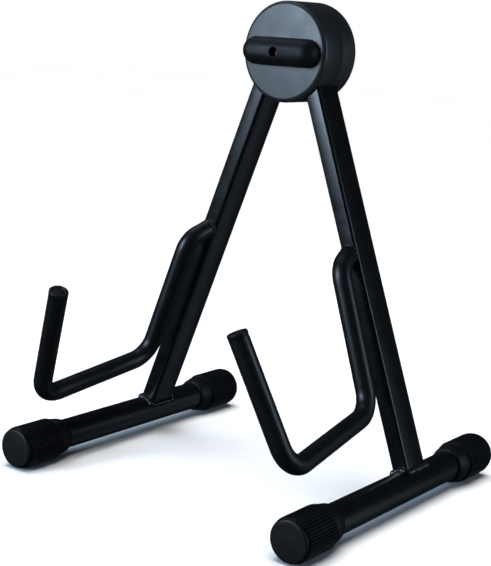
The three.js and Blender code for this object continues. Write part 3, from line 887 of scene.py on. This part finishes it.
def arm_plug(side):
    """The rubber plug in the sleeve's end: a round-edged rim about a shallow dish, over a neck."""
    route = arm_route()
    tip = route[-1]
    along = (tip - route[-2]).normalized()
    across = Vector((0, 1, 0))
    across = (across - along * across.dot(along)).normalized()
    third = along.cross(across)
    base = tip - along * PLUG_HEIGHT
    rings = []
    for radius, height in plug_profile():
        rings.append(ring_about(base + along * height, across, third, radius, ARM_SIDES))
    piece = skin(f"{side}_tip_plug", rings, frame_of=leg_frame(side))
    shade(piece, angle=40)
    return finish_piece(piece, PLUG, f"{side}_leg", "plug_rubber", f"{side}_arm_plug")


def arm_weld(side):
    """The bead that joins the arm's rod to the leg's front face."""
    middle = arm_point(*ARM_ROOT) + Vector((0, -ARM_WELD_LIFT, 0))
    edge = LEG_WIDTH / 2 - ARM_WELD_INSET
    path = []
    for i in range(ARM_WELD_STEPS):
        angle = 2 * math.pi * i / ARM_WELD_STEPS
        out = Vector((math.cos(angle), 0, math.sin(angle)))
        spot = middle + out * ARM_WELD_CIRCLE
        spot.x = max(-edge, min(edge, spot.x))
        path.append((spot, out))
    piece = bead(f"{side}_arm_weld", path, ARM_WELD_RADIUS, ARM_WELD_RIPPLE, leg_frame(side))
    return finish_piece(piece, WELD, f"{side}_leg", "powder_coat")


# ---- CAD nodes that show as they are ----


def smooth_node(node, material):
    """A kept CAD node's material, with smooth shading over its facets."""
    piece = frame["nodes"][node]
    piece.data.materials.clear()
    piece.data.materials.append(material)
    shade(piece, angle=32)


def kept_nodes():
    """The fasteners, pins, washers, gears and rods."""
    for place in ("right", "top", "left", "bottom"):
        smooth_node(f"housing_screw_{place}", STEEL)
    smooth_node("bumper_screw", SCREW_STEEL)
    for side in SIDES:
        for part in ("pivot_pin", "leg_gear", "upper_rivet", "lower_rivet"):
            smooth_node(f"{side}_{part}", STEEL)
        for part in ("front_washer", "rear_washer"):
            smooth_node(f"{side}_{part}", NYLON)
        smooth_node(f"{side}_arm_rod", COAT)


front_housing()
rear_housing()
bumper()
for side in SIDES:
    leg_tube(side)
    foot_bar(side)
    foot_weld(side)
    foot_cap(side, "front")
    foot_cap(side, "rear")
    arm_sleeve(side)
    arm_plug(side)
    arm_weld(side)
kept_nodes()

# ---- The studio ----


def camera():
    """A long lens from the front right, level with the stand's head."""
    data = bpy.data.cameras.new("camera")
    data.lens = CAMERA_LENS
    data.sensor_width = CAMERA_SENSOR
    data.clip_start, data.clip_end = CAMERA_CLIP
    made = bpy.data.objects.new("camera", data)
    bpy.context.scene.collection.objects.link(made)
    yaw = Matrix.Rotation(math.radians(CAMERA_YAW), 4, "Z")
    pitch = Matrix.Rotation(math.radians(90 + CAMERA_PITCH), 4, "X")
    roll = Matrix.Rotation(math.radians(CAMERA_ROLL), 4, "Z")
    made.matrix_world = Matrix.Translation(CAMERA_PLACE) @ yaw @ pitch @ roll
    bpy.context.scene.camera = made


def softbox(name, place, target, width, height, power):
    """A large soft area light at place, facing target."""
    data = bpy.data.lights.new(name, "AREA")
    data.shape = "RECTANGLE"
    data.size = width
    data.size_y = height
    data.energy = power
    data.color = COOL
    made = bpy.data.objects.new(name, data)
    made.location = place
    made.rotation_mode = "QUATERNION"
    aim = Vector(target) - Vector(place)
    made.rotation_quaternion = aim.to_track_quat("-Z", "Y")
    bpy.context.scene.collection.objects.link(made)


def floor():
    """A wide sheet of paper under the stand."""
    half = FLOOR_HALF
    mesh = bpy.data.meshes.new("floor")
    corners = [(-half, -half, 0), (half, -half, 0), (half, half, 0), (-half, half, 0)]
    mesh.from_pydata(corners, [], [(0, 1, 2, 3)])
    made = bpy.data.objects.new("floor", mesh)
    made.location.z = -FLOOR_DROP
    made.visible_glossy = False  # dark undersides: the coat mirrors the room, not the paper
    mesh.materials.append(pale_floor())
    bpy.context.scene.collection.objects.link(made)


def sun():
    """Even, soft light from straight overhead, which the gloss doesn't mirror."""
    data = bpy.data.lights.new("overhead", "SUN")
    data.energy = SUN_POWER
    data.angle = math.radians(SUN_SPREAD)
    made = bpy.data.objects.new("overhead", data)
    made.visible_glossy = False
    bpy.context.scene.collection.objects.link(made)


def world():
    """White behind the object, a dim room around it, and a glow low behind its right side."""
    made = bpy.data.worlds.new("studio")
    made.use_nodes = True
    tree = made.node_tree

    def math_node(operation, *values):
        """The outcome of a sum on numbers or other nodes' outputs."""
        node = tree.nodes.new("ShaderNodeMath")
        node.operation = operation
        for socket, value in zip(node.inputs, values):
            if isinstance(value, (int, float)):
                socket.default_value = value
            else:
                tree.links.new(value, socket)
        return node.outputs[0]

    direction = tree.nodes.new("ShaderNodeTexCoord").outputs["Generated"]

    def along(vector):
        """How far the direction that is looked in goes along a vector."""
        node = tree.nodes.new("ShaderNodeVectorMath")
        node.operation = "DOT_PRODUCT"
        tree.links.new(direction, node.inputs[0])
        node.inputs[1].default_value = vector
        return node.outputs["Value"]

    below = tree.nodes.new("ShaderNodeValToRGB")
    stops = below.color_ramp.elements
    stops.remove(stops[1])
    for i, (drop, strength) in enumerate(GLOW_BELOW):
        stop = stops[0] if i == 0 else stops.new(drop)
        stop.position = drop
        stop.color = (strength, strength, strength, 1)
    tree.links.new(math_node("ADD", along(GLOW_EDGE), GLOW_TOP), below.inputs["Fac"])
    facing = math_node("MAXIMUM", along(GLOW_TOWARDS), 0.0)
    narrow = math_node("POWER", facing, GLOW_NARROWING)
    glow = math_node("MULTIPLY", below.outputs["Color"], narrow)
    room = tree.nodes["Background"]
    room.inputs["Color"].default_value = (*COOL, 1)
    tree.links.new(math_node("ADD", glow, ROOM_STRENGTH), room.inputs["Strength"])
    backdrop = tree.nodes.new("ShaderNodeBackground")
    backdrop.inputs["Color"].default_value = (1.0, 1.0, 1.0, 1)
    rays = tree.nodes.new("ShaderNodeLightPath")
    mix = tree.nodes.new("ShaderNodeMixShader")
    tree.links.new(rays.outputs["Is Camera Ray"], mix.inputs["Fac"])
    tree.links.new(room.outputs["Background"], mix.inputs[1])
    tree.links.new(backdrop.outputs["Background"], mix.inputs[2])
    tree.links.new(mix.outputs["Shader"], tree.nodes["World Output"].inputs["Surface"])
    bpy.context.scene.world = made


camera()
floor()
world()
sun()
for name, box in SOFTBOXES.items():
    softbox(name, *box)
bpy.context.scene.view_settings.view_transform = "Standard"
